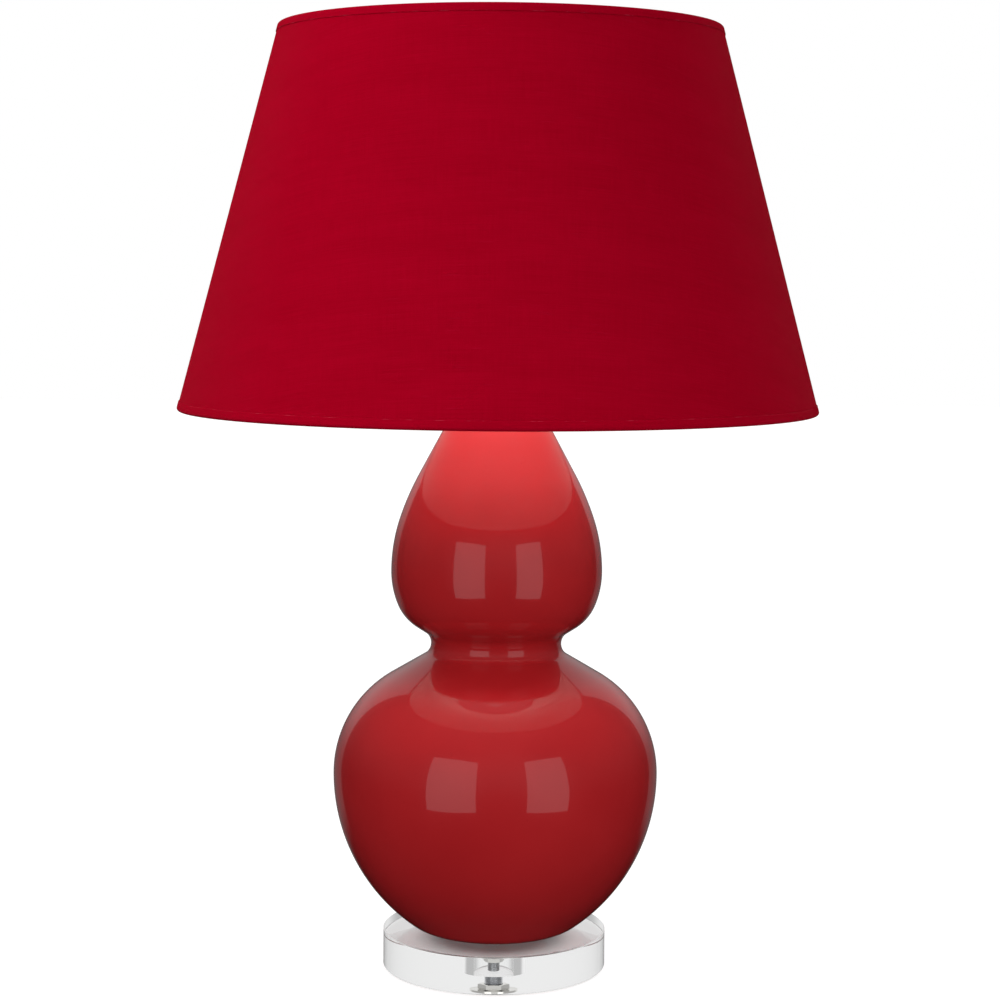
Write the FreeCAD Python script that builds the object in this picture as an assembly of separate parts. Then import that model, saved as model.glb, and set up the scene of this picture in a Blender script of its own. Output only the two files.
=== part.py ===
# Table lamp with a double gourd ceramic body on a clear acrylic disc, a tapered drum shade and its harp.
#
# Millimetres, +Z up. The origin is on the lamp's axis, in the plane that its four bumpers stand on.
# The front of the lamp faces -Y and the supply lead leaves the gourd at the back, towards +Y.
# Screw threads are drawn as plain grooves or plain bores with the clearances named below.

import FreeCAD
import Part
import math
import os

# ---------------------------------------------------------------- fits
SEAT_GAP = 0.05          # radial play of a nut, washer or bush on its pipe
RUNNING_GAP = 0.08       # radial play of a shaft that turns
SOFT_GAP = 0.3           # between curved faces that move past each other
HOLE_GAP = 0.45          # radial play of the pipe in a drilled or cast hole

# ---------------------------------------------------------------- acrylic base
BUMPER_H = 1.5
BUMPER_R = 6.0
BUMPER_TOP_LAND = 1.0    # how much smaller the bumper's foot is than its glued face
BUMPER_COUNT = 4
BUMPER_RING_R = 72.0
BUMPER_FIRST = 45.0      # where the first bumper stands, in degrees from +X
DISC_R = 87.5
DISC_H = 29.2
DISC_BEVEL = 1.2
COUNTERBORE_R = 16.0
COUNTERBORE_DEPTH = 14.2

# ---------------------------------------------------------------- pipe and base hardware
PIPE_R = 4.85
PIPE_BORE_R = 3.3
PIPE_SHY = 0.8           # how far the pipe stops short of the disc's underside
THREAD_PITCH = 0.94
THREAD_DEPTH = 0.5
THREAD_TURNS = 16
LEAD_SLOT_W = 5.5
LEAD_SLOT_H = 18.0
LEAD_SLOT_Z = 110.0
WASHER_R = 12.5
WASHER_H = 1.5
NUT_FLATS = 14.3
NUT_H = 4.3
NUT_CHAMFER = 0.6

# ---------------------------------------------------------------- gourd
GASKET_H = 0.6
GLAZE_WALL = 6.0
FOOT_LAND = 8.0          # width of the ring that the gourd stands on
FOOT_RECESS = 2.0
FOOT_ARC_R = 28.46
BELLY_UNDER_R = 145.63
BELLY_UNDER_TURN = 54.11
BELLY_R = 127.5
SHOULDER_R = 87.98
SHOULDER_TURN = 59.35
WAIST_R = 51.3
WAIST_FILLET = 11.2
UPPER_TURN = 57.33
UPPER_FLANK = 8.6
BULB_SIDE_R = 68.2
BULB_SIDE_TURN = 22.85
BULB_R = 83.0
CROWN_LOW_R = 133.0
CROWN_LOW_TURN = 18.54
CROWN_HIGH_R = 221.3
CROWN_TURN = 28.24
NECK_R = 17.0
NECK_FILLET = 25.0
NECK_H = 5.0
LEAD_HOLE_ANGLE = 38.0   # below the belly's widest level, seen from the centre of its curve
GROMMET_R = 6.0
GROMMET_BORE_R = 3.6
GROMMET_RELIEF_R = 4.4    # wider bore where the grommet passes through the gourd's wall
GROMMET_BORE_START = 1.0
GROMMET_FLANGE_R = 8.5
GROMMET_FLANGE_H = 2.0
GROMMET_NOSE = 7.0
GROMMET_TAPER = 1.0
GROMMET_LIP = 1.0

# ---------------------------------------------------------------- neck hardware
SEAL_H = 0.8
SEAL_W = 4.0
SEAL_IN = 1.0            # how far the seal lies inside the edge of the neck
CAP_R = 20.5
CAP_H = 6.0
CAP_CORNER_R = 3.0
CAP_METAL = 1.2
SPACER_R = 7.0
SPACER_H = 9.5
LOCK_NUT_R = 9.0
LOCK_NUT_H = 4.0
LOCK_NUT_KNURLS = 36
KNURL_DEPTH = 0.35
SADDLE_METAL = 1.6
SADDLE_W = 12.0
SADDLE_HALF_SPAN = 29.0
SADDLE_POST_W = 4.4
SADDLE_POST_H = 17.0
SADDLE_END_ROUND = 0.6   # how far the circle that rounds the strap's ends reaches past them

# ---------------------------------------------------------------- socket
SOCKET_HUB_R = 8.0
SOCKET_HUB_H = 6.0
SOCKET_CAP_R = 18.4
SOCKET_CAP_SLOPE = 30.0
SOCKET_CAP_FILLET = 2.0
SOCKET_CAP_SHOULDER = 5.0
SOCKET_CAP_H = 22.0
SOCKET_METAL = 0.8
SOCKET_LAP = 4.0
SHELL_R = 17.5
SHELL_H = 48.0
SHELL_METAL = 0.5
SHELL_CURL = 1.2         # how far the shell's rim curls inwards
LINER_GAP = 0.1
LINER_T = 0.8
LINER_SHORT = 2.0        # how far the paper liner stops below the shell's rim
BODY_H = 18.0
BODY_LIFT = 16.0         # underside of the socket's insulating body above the saddle
SCREW_SHELL_R = 14.3     # outside of the lamp holder's screw shell
SCREW_SHELL_T = 0.4
SCREW_SHELL_H = 25.0
SCREW_WAVE = 0.5
LAMP_PITCH = 3.629
TERMINAL_HEAD_R = 3.0
TERMINAL_HEAD_H = 2.0
TERMINAL_SHANK_R = 1.5
TERMINAL_SHANK_L = 5.0
TERMINAL_EDGE = 1.0      # between a terminal's head and each end of its recess
SET_SCREW_R = 1.5
SET_SCREW_OUT = 1.5      # how far the set screw's end stands out of the hub
SWITCH_SHAFT_R = 2.4
SWITCH_SHAFT_IN = 7.0
SWITCH_LIFT = 11.5       # height of the switch shaft in the insulating body
KNOB_R = 6.0
KNOB_L = 13.0
KNOB_GAP = 1.2
KNOB_RIBS = 12
KNOB_RIB_DEPTH = 0.5
KNOB_FOOT_BEVEL = 0.6
KNOB_NOSE_BEVEL = 1.2
KNOB_PLAIN = 1.0         # smooth length at the knob's foot, before its ribs
CONTACT_T = 0.4
CONTACT_W = 5.0
CONTACT_RISE = 1.6
CONTACT_L = 9.0
CONTACT_FOOT = 2.0
CONTACT_BEND = 1.0
RING_CONTACT_Y = 9.4
RING_CONTACT_L = 3.4
RING_CONTACT_TIP = 0.8

# ---------------------------------------------------------------- light bulb
LAMP_CAP_R = 12.9
LAMP_CAP_H = 19.0
LAMP_CAP_T = 0.35
LAMP_TIP_R = 4.6
LAMP_TIP_H = 1.4
LAMP_TIP_GAP = 0.15
LAMP_TIP_BEVEL = 1.0
LAMP_INSULATOR_H = 4.0
LAMP_INSULATOR_RIM = 0.8 # ring of black glass left bare round the tip
LAMP_INSULATOR_IN = 1.0  # depth of the glass inside the cap
LAMP_NECK_H = 5.0
LAMP_FLARE_R = 60.0
LAMP_FLARE_TURN = 28.0
LAMP_GLOBE_R = 33.5
LAMP_GLASS_T = 0.7
STEM_R = 4.0
STEM_H = 46.0
STEM_FLARE_H = 6.0
STEM_FOOT_H = 1.0
FILAMENT_WIRE_R = 0.4
FILAMENT_SPAN = 9.0
FILAMENT_RISE = 12.0
FILAMENT_ROOT = 1.0      # how deep the support wires stand in the stem

# ---------------------------------------------------------------- harp and finial
HARP_H = 228.6           # from the saddle's underside to the shoulder that carries the shade
HARP_WIRE_R = 1.7
HARP_STRAIGHT = 34.0
HARP_FLARE_R = 40.0
HARP_FLARE_TURN = 15.0
HARP_SIDE_R = 140.0
HARP_TOP_R = 40.0
HARP_LIFT = 0.3          # end of the harp's leg above the saddle's strap
FERRULE_BORE_R = 3.6
FERRULE_R = 4.5
FERRULE_L = 14.0
STUD_BASE_R = 6.0
STUD_BASE_H = 6.5
STUD_COVER = 1.0         # metal of the stud's base above the harp wire
STUD_R = 3.1
STUD_L = 13.5
FINIAL_FOOT_R = 8.5
FINIAL_FOOT_H = 2.5
FINIAL_NECK_R = 5.6
FINIAL_NECK_H = 3.0
FINIAL_BALL_R = 10.5
FINIAL_CORE_R = 4.6
FINIAL_CORE_L = 14.5

# ---------------------------------------------------------------- shade
SHADE_TOP_R = 173.0
SHADE_BOTTOM_R = 250.5
SHADE_H = 299.0
FABRIC_T = 0.5
LINER_SHEET_T = 0.5
TRIM_T = 0.6
TRIM_W = 7.0
HEM_FACETS = 6           # flats that the folded hem makes round its wire
RING_WIRE_R = 1.6
SPIDER_DROP = 11.5       # from the hub's underside up to the shade's upper edge
SPIDER_HUB_R = 12.5
SPIDER_HUB_T = 1.6
SPIDER_WIRE_R = 1.4
SPIDER_ARMS = 3
SPIDER_FIRST = 90.0      # where the first arm points, in degrees from +X
SPIDER_BEND_R = 7.0
SPIDER_BEND_TURN = 62.0
SPIDER_LAP = 1.0         # how far an arm's path runs into the hub before it is trimmed to it

# ---------------------------------------------------------------- heights worked out from the sizes
DISC_Z = BUMPER_H
DISC_TOP = DISC_Z + DISC_H
ROOF_Z = DISC_Z + COUNTERBORE_DEPTH
WASHER_Z = ROOF_Z - WASHER_H
NUT_Z = WASHER_Z - NUT_H
FOOT_Z = DISC_TOP + GASKET_H


def sin(degrees):
    return math.sin(math.radians(degrees))


def cos(degrees):
    return math.cos(math.radians(degrees))


# ---------------------------------------------------------------- drawing tools
class Trace:
    """Tangent lines and arcs in the upright plane of radius and height, from a point and a heading in degrees."""

    def __init__(self, r, z, heading=0.0):
        self.r = r
        self.z = z
        self.heading = heading
        self.edges = []

    def at(self):
        return FreeCAD.Vector(self.r, 0, self.z)

    def move_to(self, r, z):
        """A straight line to a point, whatever the heading."""
        start = self.at()
        self.r = r
        self.z = z
        if start.distanceToPoint(self.at()) > 1e-6:
            self.edges.append(Part.makeLine(start, self.at()))
        return self

    def line(self, length):
        return self.move_to(self.r + length * cos(self.heading), self.z + length * sin(self.heading))

    def arc(self, radius, turn):
        """An arc that starts along the heading and turns by so many degrees, to the left when turn is positive."""
        side = 1 if turn > 0 else -1
        centre_r = self.r - side * radius * sin(self.heading)
        centre_z = self.z + side * radius * cos(self.heading)

        def on_arc(heading):
            return FreeCAD.Vector(
                centre_r + side * radius * sin(heading), 0, centre_z - side * radius * cos(heading)
            )

        end = on_arc(self.heading + turn)
        self.edges.append(Part.Arc(self.at(), on_arc(self.heading + turn / 2), end).toShape())
        self.r = end.x
        self.z = end.z
        self.heading += turn
        return self


def close_face(*traces):
    edges = [edge for trace in traces for edge in trace.edges]
    return Part.Face(Part.Wire(Part.__sortEdges__(edges)))


def turned(face):
    """The solid of revolution of a face about the lamp's axis."""
    return face.revolve(FreeCAD.Vector(0, 0, 0), FreeCAD.Vector(0, 0, 1), 360)


def turned_outline(points):
    vectors = [FreeCAD.Vector(r, 0, z) for r, z in points]
    return turned(Part.Face(Part.makePolygon(vectors + vectors[:1])))


def tube(outer_r, inner_r, z, height):
    return turned_outline([(inner_r, z), (outer_r, z), (outer_r, z + height), (inner_r, z + height)])


def rod(radius, length, base, direction):
    return Part.makeCylinder(radius, length, base, direction)


def wire_sweep(path_edges, radius, start, direction):
    section = Part.Wire(Part.makeCircle(radius, start, direction))
    return Part.Wire(path_edges).makePipeShell([section], True, False)


def spin_copies(shape, count, first=0.0):
    """Copies of a shape, evenly spaced about the lamp's axis."""
    copies = []
    for index in range(count):
        copy = shape.copy()
        copy.rotate(FreeCAD.Vector(0, 0, 0), FreeCAD.Vector(0, 0, 1), first + index * 360.0 / count)
        copies.append(copy)
    return copies


def fluted(shape, radius, z, height, count, depth):
    """Cuts upright grooves, as deep as given, round a shape's rim."""
    cutter = rod(depth, height, FreeCAD.Vector(radius, 0, z), FreeCAD.Vector(0, 0, 1))
    return shape.cut(Part.makeCompound(spin_copies(cutter, count)))


nodes = {}


def node(name, *solids):
    """Keeps one solid, or a group of like solids, under a node's name."""
    parts = [part for solid in solids for part in solid.Solids]
    for part in parts:
        if not part.isValid() or part.Volume <= 0:
            raise ValueError(name + " has a bad solid")
    nodes[name] = parts[0] if len(parts) == 1 else Part.makeCompound(parts)
    return nodes[name]


# ---------------------------------------------------------------- base
def make_base():
    foot_r = BUMPER_R - BUMPER_TOP_LAND
    bumper = Part.makeCone(foot_r, BUMPER_R, BUMPER_H, FreeCAD.Vector(BUMPER_RING_R, 0, 0))
    node("base_bumpers", *spin_copies(bumper, BUMPER_COUNT, BUMPER_FIRST))

    hole_r = PIPE_R + HOLE_GAP
    node("acrylic_base", turned_outline([
        (COUNTERBORE_R, DISC_Z),
        (DISC_R - DISC_BEVEL, DISC_Z),
        (DISC_R, DISC_Z + DISC_BEVEL),
        (DISC_R, DISC_TOP - DISC_BEVEL),
        (DISC_R - DISC_BEVEL, DISC_TOP),
        (hole_r, DISC_TOP),
        (hole_r, ROOF_Z),
        (COUNTERBORE_R, ROOF_Z),
    ]))

    node("base_washer", tube(WASHER_R, PIPE_R + SEAT_GAP, WASHER_Z, WASHER_H))
    node("base_nut", hex_nut(NUT_Z))


def hex_nut(z):
    corner_r = NUT_FLATS / 2 / cos(30)
    corners = [FreeCAD.Vector(corner_r * cos(60 * k), corner_r * sin(60 * k), z) for k in range(7)]
    prism = Part.Face(Part.makePolygon(corners)).extrude(FreeCAD.Vector(0, 0, NUT_H))
    flat_r = NUT_FLATS / 2
    rise = corner_r + NUT_CHAMFER - flat_r
    envelope = turned_outline([
        (0, z),
        (flat_r, z),
        (flat_r + rise, z + NUT_CHAMFER * rise / flat_r + NUT_CHAMFER),
        (flat_r + rise, z + NUT_H - NUT_CHAMFER * rise / flat_r - NUT_CHAMFER),
        (flat_r, z + NUT_H),
        (0, z + NUT_H),
    ])
    bore = rod(PIPE_R + SEAT_GAP, NUT_H, FreeCAD.Vector(0, 0, z), FreeCAD.Vector(0, 0, 1))
    return prism.common(envelope).cut(bore)


def make_pipe(top):
    """The threaded pipe that clamps the whole lamp together, with its lower thread and the slot for the lead."""
    z = DISC_Z + PIPE_SHY
    points = [(PIPE_BORE_R, z), (PIPE_R - THREAD_DEPTH, z)]
    for turn in range(THREAD_TURNS):
        start = z + turn * THREAD_PITCH
        points.append((PIPE_R, start + THREAD_PITCH / 2))
        points.append((PIPE_R - THREAD_DEPTH, start + THREAD_PITCH))
    points.append((PIPE_R, z + (THREAD_TURNS + 0.5) * THREAD_PITCH))
    points.append((PIPE_R, top))
    points.append((PIPE_BORE_R, top))
    slot = Part.makeBox(
        LEAD_SLOT_W, PIPE_R, LEAD_SLOT_H, FreeCAD.Vector(-LEAD_SLOT_W / 2, PIPE_BORE_R / 2, LEAD_SLOT_Z)
    )
    node("threaded_pipe", turned_outline(points).cut(slot))


# ---------------------------------------------------------------- gourd
def gourd_foot_r():
    """Radius of the ring that the gourd stands on, where the foot's arc is level."""
    return BELLY_R - BELLY_UNDER_R + (BELLY_UNDER_R - FOOT_ARC_R) * cos(BELLY_UNDER_TURN)


def gourd_trace(inset):
    """The gourd's side from its foot to its mouth, or the parallel line that lies inset inside it."""
    trace = Trace(gourd_foot_r(), FOOT_Z + inset)
    trace.arc(FOOT_ARC_R - inset, 90 - BELLY_UNDER_TURN)
    trace.arc(BELLY_UNDER_R - inset, BELLY_UNDER_TURN)
    trace.arc(SHOULDER_R - inset, SHOULDER_TURN)
    flank_end_r = WAIST_R - inset + (WAIST_FILLET + inset) * (1 - cos(SHOULDER_TURN))
    trace.line((trace.r - flank_end_r) / sin(SHOULDER_TURN))
    trace.arc(WAIST_FILLET + inset, -SHOULDER_TURN - UPPER_TURN)
    trace.line(UPPER_FLANK)
    side_end_r = BULB_R - BULB_SIDE_R * (1 - cos(BULB_SIDE_TURN))
    curve_start_r = WAIST_R + WAIST_FILLET * (1 - cos(UPPER_TURN)) + UPPER_FLANK * sin(UPPER_TURN)
    curve_r = (side_end_r - curve_start_r) / (cos(BULB_SIDE_TURN) - cos(UPPER_TURN))
    trace.arc(curve_r - inset, UPPER_TURN - BULB_SIDE_TURN)
    trace.arc(BULB_SIDE_R - inset, BULB_SIDE_TURN)
    trace.arc(CROWN_LOW_R - inset, CROWN_LOW_TURN)
    trace.arc(CROWN_HIGH_R - inset, CROWN_TURN - CROWN_LOW_TURN)
    neck_start_r = NECK_R - inset + (NECK_FILLET + inset) * (1 - cos(CROWN_TURN))
    trace.line((trace.r - neck_start_r) / sin(CROWN_TURN))
    trace.arc(NECK_FILLET + inset, -CROWN_TURN)
    trace.line(NECK_H)
    return trace


def lead_hole_frame():
    """A point on the gourd's outside, and the outward direction there, for the supply lead's hole."""
    curve_centre_r = BELLY_R - BELLY_UNDER_R
    belly_z = FOOT_Z + FOOT_ARC_R + (BELLY_UNDER_R - FOOT_ARC_R) * sin(BELLY_UNDER_TURN)
    outward = FreeCAD.Vector(0, cos(LEAD_HOLE_ANGLE), -sin(LEAD_HOLE_ANGLE))
    point = FreeCAD.Vector(0, curve_centre_r, belly_z) + outward * BELLY_UNDER_R
    return point, outward


def make_gourd():
    foot_r = gourd_foot_r()
    outer = gourd_trace(0)
    mouth_z = outer.z
    outer.move_to(NECK_R - GLAZE_WALL, mouth_z)
    inner = gourd_trace(GLAZE_WALL)
    hole_r = PIPE_R + HOLE_GAP
    under = Trace(foot_r, FOOT_Z)
    under.move_to(foot_r - FOOT_LAND, FOOT_Z)
    under.move_to(foot_r - FOOT_LAND - FOOT_RECESS, FOOT_Z + FOOT_RECESS)
    under.move_to(hole_r, FOOT_Z + FOOT_RECESS)
    under.move_to(hole_r, FOOT_Z + GLAZE_WALL)
    under.move_to(foot_r, FOOT_Z + GLAZE_WALL)
    point, outward = lead_hole_frame()
    hole = rod(GROMMET_R + SEAT_GAP, 3 * GLAZE_WALL, point - outward * 2 * GLAZE_WALL, outward)
    node("gourd_body", turned(close_face(outer, inner, under)).cut(hole))
    node("foot_gasket", tube(foot_r, foot_r - FOOT_LAND, DISC_TOP, GASKET_H))
    return mouth_z


def make_grommet():
    """A rubber bush in the gourd's back hole: a barrel, an outer flange with a nose, and a lip inside."""
    skin_dip = GROMMET_FLANGE_R ** 2 / 2 / BELLY_UNDER_R
    lip_z = -(GLAZE_WALL + GROMMET_LIP)
    body = turned_outline([
        (GROMMET_RELIEF_R, lip_z),
        (GROMMET_R, lip_z),
        (GROMMET_R, -skin_dip),
        (GROMMET_FLANGE_R, -skin_dip),
        (GROMMET_FLANGE_R, GROMMET_FLANGE_H),
        (GROMMET_R, GROMMET_FLANGE_H),
        (GROMMET_R - GROMMET_TAPER, GROMMET_FLANGE_H + GROMMET_NOSE),
        (GROMMET_BORE_R, GROMMET_FLANGE_H + GROMMET_NOSE),
        (GROMMET_BORE_R, GROMMET_BORE_START),
        (GROMMET_RELIEF_R, GROMMET_BORE_START - (GROMMET_RELIEF_R - GROMMET_BORE_R)),
    ])
    point, outward = lead_hole_frame()
    body.rotate(FreeCAD.Vector(0, 0, 0), FreeCAD.Vector(1, 0, 0), -90 - LEAD_HOLE_ANGLE)
    body.translate(point)
    node("lead_grommet", body.cut(nodes["gourd_body"]))
    bore_middle = (GROMMET_BORE_START + GROMMET_FLANGE_H + GROMMET_NOSE) / 2
    print("lead bore middle and direction", point + outward * bore_middle, outward)


# ---------------------------------------------------------------- neck hardware
def make_neck(mouth_z):
    """Seal, cap, spacer and lock nut on the gourd's mouth. Returns the height that the harp's saddle lies at."""
    node("neck_seal", tube(NECK_R - SEAL_IN, NECK_R - SEAL_IN - SEAL_W, mouth_z, SEAL_H))
    bore = PIPE_R + SEAT_GAP
    plate_z = mouth_z + SEAL_H
    top = plate_z + CAP_METAL
    skirt_z = top - CAP_H
    outer = Trace(CAP_R, skirt_z, 90).line(CAP_H - CAP_CORNER_R).arc(CAP_CORNER_R, 90).move_to(bore, top)
    inner = Trace(CAP_R, skirt_z, 90).move_to(CAP_R - CAP_METAL, skirt_z)
    inner.line(CAP_H - CAP_CORNER_R).arc(CAP_CORNER_R - CAP_METAL, 90).move_to(bore, plate_z).move_to(bore, top)
    node("vase_cap", turned(close_face(outer, inner)))
    node("neck_spacer", tube(SPACER_R, bore, top, SPACER_H))
    nut_z = top + SPACER_H
    nut = tube(LOCK_NUT_R, bore, nut_z, LOCK_NUT_H)
    node("lock_nut", fluted(nut, LOCK_NUT_R, nut_z, LOCK_NUT_H, LOCK_NUT_KNURLS, KNURL_DEPTH))
    return nut_z + LOCK_NUT_H


def saddle_post_x():
    """Inner face of a saddle post, which the harp's leg stands against."""
    return SADDLE_HALF_SPAN - SADDLE_METAL


def make_saddle(z):
    """A steel strap across the pipe with its two ends bent up to hold the harp."""
    span = 2 * SADDLE_HALF_SPAN
    strap = Part.makeBox(span, SADDLE_W, SADDLE_METAL, FreeCAD.Vector(-SADDLE_HALF_SPAN, -SADDLE_W / 2, z))
    posts = []
    for x in (saddle_post_x(), -SADDLE_HALF_SPAN):
        corner = FreeCAD.Vector(x, -SADDLE_POST_W / 2, z)
        posts.append(Part.makeBox(SADDLE_METAL, SADDLE_POST_W, SADDLE_POST_H, corner))
    bore = rod(PIPE_R + SEAT_GAP, SADDLE_METAL, FreeCAD.Vector(0, 0, z), FreeCAD.Vector(0, 0, 1))
    end_r = SADDLE_HALF_SPAN + SADDLE_END_ROUND
    rounded = rod(end_r, SADDLE_METAL, FreeCAD.Vector(0, 0, z), FreeCAD.Vector(0, 0, 1))
    strap = strap.common(rounded)
    node("harp_saddle", strap.fuse(posts).cut(bore).removeSplitter())


# ---------------------------------------------------------------- socket
def cap_side(base_z, inset):
    """The side of the socket's cap from its hub to its rim, or the parallel line that lies inset inside it."""
    bend = 90 - SOCKET_CAP_SLOPE
    side = Trace(SOCKET_HUB_R - inset, base_z + SOCKET_HUB_H, 90)
    side.arc(SOCKET_CAP_FILLET + inset, -bend)
    curves = (SOCKET_CAP_FILLET + SOCKET_CAP_SHOULDER) * (1 - cos(bend))
    side.line((SOCKET_CAP_R - SOCKET_HUB_R - curves) / sin(bend))
    side.arc(SOCKET_CAP_SHOULDER - inset, bend)
    return side.move_to(SOCKET_CAP_R - inset, base_z + SOCKET_CAP_H)


def make_socket_cap(z):
    bore = PIPE_R + SEAT_GAP
    outside = cap_side(z, 0)
    inside = cap_side(z, SOCKET_METAL)
    rim = Trace(outside.r, outside.z).move_to(inside.r, inside.z)
    hub_top = z + SOCKET_HUB_H
    hub = Trace(SOCKET_HUB_R, hub_top).move_to(SOCKET_HUB_R, z).move_to(bore, z)
    hub.move_to(bore, hub_top).move_to(SOCKET_HUB_R - SOCKET_METAL, hub_top)
    screw_z = z + SOCKET_HUB_H / 2
    back = FreeCAD.Vector(0, 1, 0)
    screw_hole = rod(SET_SCREW_R + SEAT_GAP, SOCKET_CAP_R, FreeCAD.Vector(0, 0, screw_z), back)
    node("socket_cap", turned(close_face(outside, inside, rim, hub)).cut(screw_hole))
    screw_l = SOCKET_HUB_R + SET_SCREW_OUT - bore
    node("socket_set_screw", rod(SET_SCREW_R, screw_l, FreeCAD.Vector(0, bore, screw_z), back))


def make_socket_shell(z, shaft_z):
    """The polished shell and the paper liner inside it, both pierced for the switch's shaft."""
    low = z + SOCKET_CAP_H - SOCKET_LAP
    top = low + SHELL_H
    inner_r = SHELL_R - SHELL_METAL
    shell = turned_outline([
        (inner_r, low),
        (SHELL_R, low),
        (SHELL_R, top - SHELL_CURL),
        (SHELL_R - SHELL_CURL / 2, top),
        (SHELL_R - 2 * SHELL_CURL, top),
        (SHELL_R - 2 * SHELL_CURL, top - SHELL_METAL),
        (inner_r - SHELL_CURL / 2, top - SHELL_METAL),
        (inner_r, top - SHELL_CURL - SHELL_METAL / 2),
    ])
    front = FreeCAD.Vector(0, -1, 0)
    window = rod(SWITCH_SHAFT_R + SOFT_GAP, 2 * SHELL_R, FreeCAD.Vector(0, 0, shaft_z), front)
    node("socket_shell", shell.cut(window))
    liner_r = inner_r - LINER_GAP
    liner_h = top - LINER_SHORT - low
    node("socket_liner", tube(liner_r, liner_r - LINER_T, low, liner_h).cut(window))
    return liner_r - LINER_T - LINER_GAP


def make_socket_body(z, radius, shaft_z):
    """The moulded body that holds the terminals and the switch, with its two contacts on top."""
    seat_z = z + BODY_H
    up = FreeCAD.Vector(0, 0, 1)
    body = rod(radius, BODY_H, FreeCAD.Vector(0, 0, z), up)
    shaft_bore = rod(
        SWITCH_SHAFT_R + RUNNING_GAP, radius + SWITCH_SHAFT_IN, FreeCAD.Vector(0, SWITCH_SHAFT_IN, shaft_z),
        FreeCAD.Vector(0, -1, 0),
    )
    body = body.cut(shaft_bore)
    screws = []
    screw_z = z + TERMINAL_HEAD_R + TERMINAL_EDGE
    for side in (-1, 1):
        face_x = side * (radius - TERMINAL_HEAD_H)
        corner = FreeCAD.Vector(min(face_x, side * radius), -TERMINAL_HEAD_R - SOFT_GAP, z)
        height = 2 * (TERMINAL_HEAD_R + TERMINAL_EDGE)
        body = body.cut(Part.makeBox(TERMINAL_HEAD_H, 2 * (TERMINAL_HEAD_R + SOFT_GAP), height, corner))
        inward = FreeCAD.Vector(-side, 0, 0)
        start = FreeCAD.Vector(face_x, 0, screw_z)
        shank = rod(TERMINAL_SHANK_R, TERMINAL_SHANK_L, start, inward)
        body = body.cut(rod(TERMINAL_SHANK_R + SEAT_GAP, TERMINAL_SHANK_L, start, inward))
        head_h = TERMINAL_HEAD_H - SOFT_GAP
        head = rod(TERMINAL_HEAD_R, head_h, start, FreeCAD.Vector(side, 0, 0))
        screws.append(head.fuse(shank).removeSplitter())
    node("socket_body", body)
    node("terminal_screws", *screws)
    half = CONTACT_L / 2
    rise = CONTACT_RISE
    foot_end = -half + CONTACT_FOOT
    middle = [(-half, 0), (foot_end, 0), (foot_end + CONTACT_BEND, rise)]
    middle += [(half - CONTACT_FOOT, rise), (half, rise / 2)]
    node("centre_contact", bent_strip(middle, seat_z))
    tip_start = RING_CONTACT_L - RING_CONTACT_TIP
    tongue = [(0, 0), (CONTACT_BEND, 0), (tip_start, rise / 2), (RING_CONTACT_L, rise / 2)]
    ring_contact = bent_strip(tongue, seat_z)
    ring_contact.translate(FreeCAD.Vector(0, RING_CONTACT_Y - RING_CONTACT_L, 0))
    node("ring_contact", ring_contact)
    return seat_z


def bent_strip(points, z):
    """A strip of contact brass that follows points of (y, height), lying across the x axis."""
    low = [FreeCAD.Vector(-CONTACT_W / 2, y, z + h) for y, h in points]
    high = [FreeCAD.Vector(-CONTACT_W / 2, y, z + h + CONTACT_T) for y, h in reversed(points)]
    outline = Part.makePolygon(low + high + low[:1])
    return Part.Face(outline).extrude(FreeCAD.Vector(CONTACT_W, 0, 0))


def waves(z, crest_r, depth, height, reverse=False):
    """Points of a rolled thread's ridges, one ridge for each pitch."""
    count = int(height / LAMP_PITCH)
    start = z + (height - count * LAMP_PITCH) / 2
    points = [(crest_r, z)]
    for turn in range(count):
        points.append((crest_r, start + turn * LAMP_PITCH))
        points.append((crest_r - depth, start + (turn + 0.5) * LAMP_PITCH))
    points.append((crest_r, start + count * LAMP_PITCH))
    points.append((crest_r, z + height))
    unique = [point for index, point in enumerate(points) if index == 0 or point != points[index - 1]]
    return list(reversed(unique)) if reverse else unique


def make_screw_shell(seat_z):
    outside = waves(seat_z, SCREW_SHELL_R, SCREW_WAVE, SCREW_SHELL_H)
    inside = waves(seat_z, SCREW_SHELL_R - SCREW_SHELL_T, SCREW_WAVE, SCREW_SHELL_H, reverse=True)
    node("screw_shell", turned_outline(outside + inside))


def make_switch(shaft_z, shell_r):
    """The three-way switch's shaft through the shell's side, and its ribbed turn knob."""
    front = FreeCAD.Vector(0, -1, 0)
    knob_y = -(shell_r + KNOB_GAP)
    shaft_l = SWITCH_SHAFT_IN - knob_y + KNOB_L / 2
    node("switch_shaft", rod(SWITCH_SHAFT_R, shaft_l, FreeCAD.Vector(0, SWITCH_SHAFT_IN, shaft_z), front))
    upright = turned_outline([
        (SWITCH_SHAFT_R + SEAT_GAP, 0),
        (KNOB_R - KNOB_FOOT_BEVEL, 0),
        (KNOB_R, KNOB_FOOT_BEVEL),
        (KNOB_R, KNOB_L - KNOB_NOSE_BEVEL),
        (KNOB_R - KNOB_NOSE_BEVEL, KNOB_L),
        (0, KNOB_L),
        (0, KNOB_L / 2 + SEAT_GAP),
        (SWITCH_SHAFT_R + SEAT_GAP, KNOB_L / 2 + SEAT_GAP),
    ])
    knob = fluted(upright, KNOB_R, KNOB_PLAIN, KNOB_L - KNOB_PLAIN, KNOB_RIBS, KNOB_RIB_DEPTH)
    knob.rotate(FreeCAD.Vector(0, 0, 0), FreeCAD.Vector(1, 0, 0), 90)
    knob.translate(FreeCAD.Vector(0, knob_y, shaft_z))
    node("switch_knob", knob)


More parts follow.
